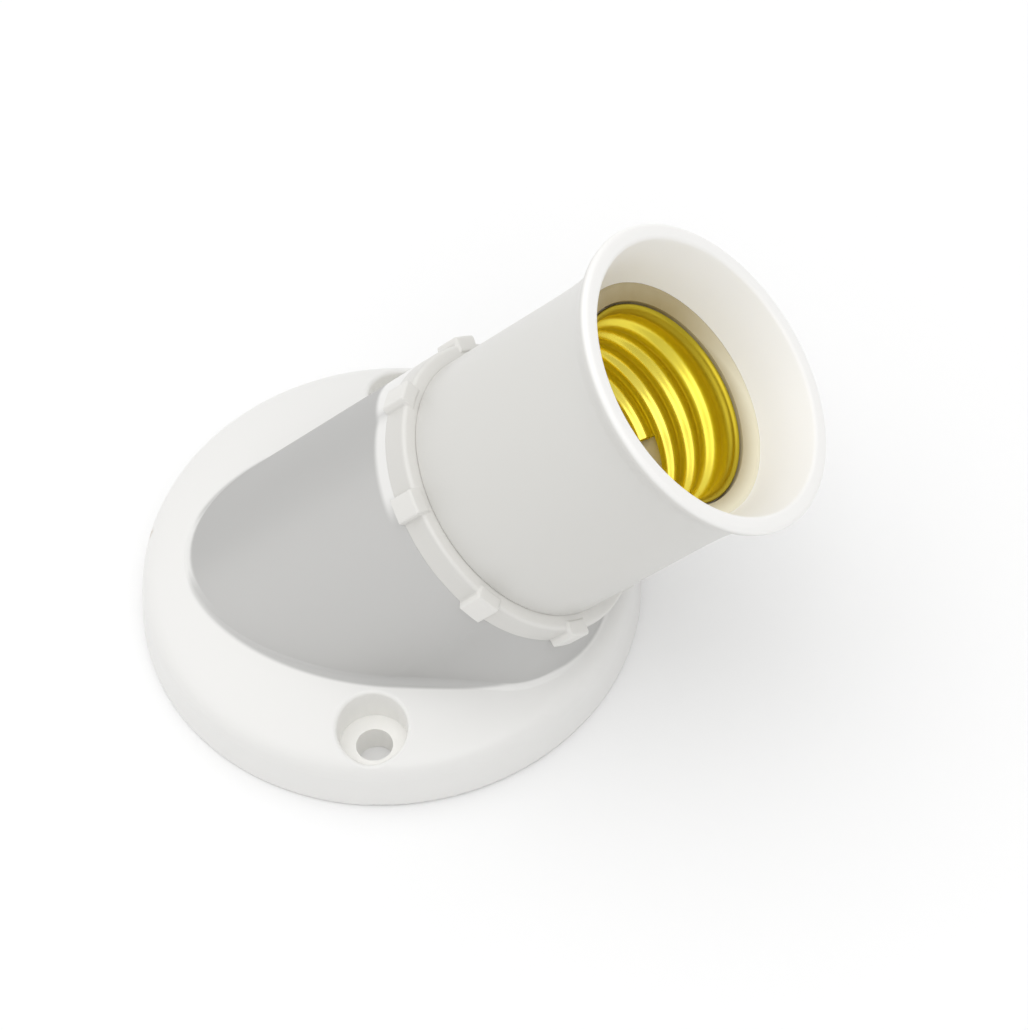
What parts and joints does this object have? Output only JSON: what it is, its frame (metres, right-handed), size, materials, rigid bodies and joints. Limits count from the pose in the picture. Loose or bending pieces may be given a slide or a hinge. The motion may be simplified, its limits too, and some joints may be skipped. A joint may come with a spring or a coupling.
{
  "type": "bulb socket",
  "caption": "Slanted wall lamp holder: round domed base, angled boss, lugged locking ring and flared barrel around a brass screw shell that takes a screw-in lamp.",
  "frame": {"origin": "centre of the round base on its back plane, midway between the two fixing holes", "axes": "+Z out of the wall, +X the way the socket leans, Y through the two fixing holes"},
  "size_m": [0.0923, 0.0678, 0.0658],
  "materials": {
    "white_plastic": "satin white moulding",
    "cream_insulator": "cream insulating moulding",
    "brass": "bright rolled sheet",
    "contact_brass": "bright spring sheet",
    "brass_rivet": "plain",
    "terminal_brass": "plain stamped",
    "zinc_steel": "zinc plated"
  },
  "bodies": {
    "base": {"base_housing": "white_plastic", "socket_core": "cream_insulator", "screw_shell": "brass", "contact_rivet": "brass_rivet", "shell_rivets": "brass_rivet", "live_terminal": "terminal_brass", "neutral_terminal": "terminal_brass", "core_screws": "zinc_steel"},
    "skirt": {"skirt": "white_plastic"},
    "ring": {"locking_ring": "white_plastic"},
    "contact": {"centre_contact": "contact_brass"},
    "live_clamp": {"live_clamp_plate": "zinc_steel"},
    "live_screw": {"live_terminal_screw": "zinc_steel"},
    "neutral_clamp": {"neutral_clamp_plate": "zinc_steel"},
    "neutral_screw": {"neutral_terminal_screw": "zinc_steel"}
  },
  "joints": [
    {"name": "skirt_slide", "type": "slide", "parent": "base", "child": "skirt", "axis": [0.7071, 0, 0.7071], "range_m": [0, 0.006]},
    {"name": "ring_turn", "type": "hinge", "parent": "skirt", "child": "ring", "pos_m": [0.01756, 0, 0.02496], "axis": [0.7071, 0, 0.7071], "range_deg": [0, 1081]},
    {"name": "contact_flex", "type": "hinge", "parent": "base", "child": "contact", "pos_m": [0.02149, -0.0046, 0.02889], "axis": [-0.7071, 0, 0.7071], "range_deg": [0, 15], "stiffness_Nm_per_rad": 0.05, "deforming": ["centre_contact"]},
    {"name": "live_clamp_slide", "type": "slide", "parent": "base", "child": "live_clamp", "axis": [-0.7071, 0, -0.7071], "range_m": [0, 0.002]},
    {"name": "live_screw_turn", "type": "hinge", "parent": "live_clamp", "child": "live_screw", "pos_m": [0.01353, -0.0061, 0.02857], "axis": [-0.7071, 0, -0.7071], "range_deg": [0, 1201]},
    {"name": "neutral_clamp_slide", "type": "slide", "parent": "base", "child": "neutral_clamp", "axis": [-0.7071, 0, -0.7071], "range_m": [0, 0.002]},
    {"name": "neutral_screw_turn", "type": "hinge", "parent": "neutral_clamp", "child": "neutral_screw", "pos_m": [0.01353, 0.0061, 0.02857], "axis": [-0.7071, 0, -0.7071], "range_deg": [0, 1201]}
  ],
  "couplings": [
    {"joint": "ring_turn", "follows": "skirt_slide", "rad_per_m": 3141.6},
    {"joint": "live_screw_turn", "follows": "live_clamp_slide", "rad_per_m": 10472},
    {"joint": "neutral_screw_turn", "follows": "neutral_clamp_slide", "rad_per_m": 10472}
  ]
}
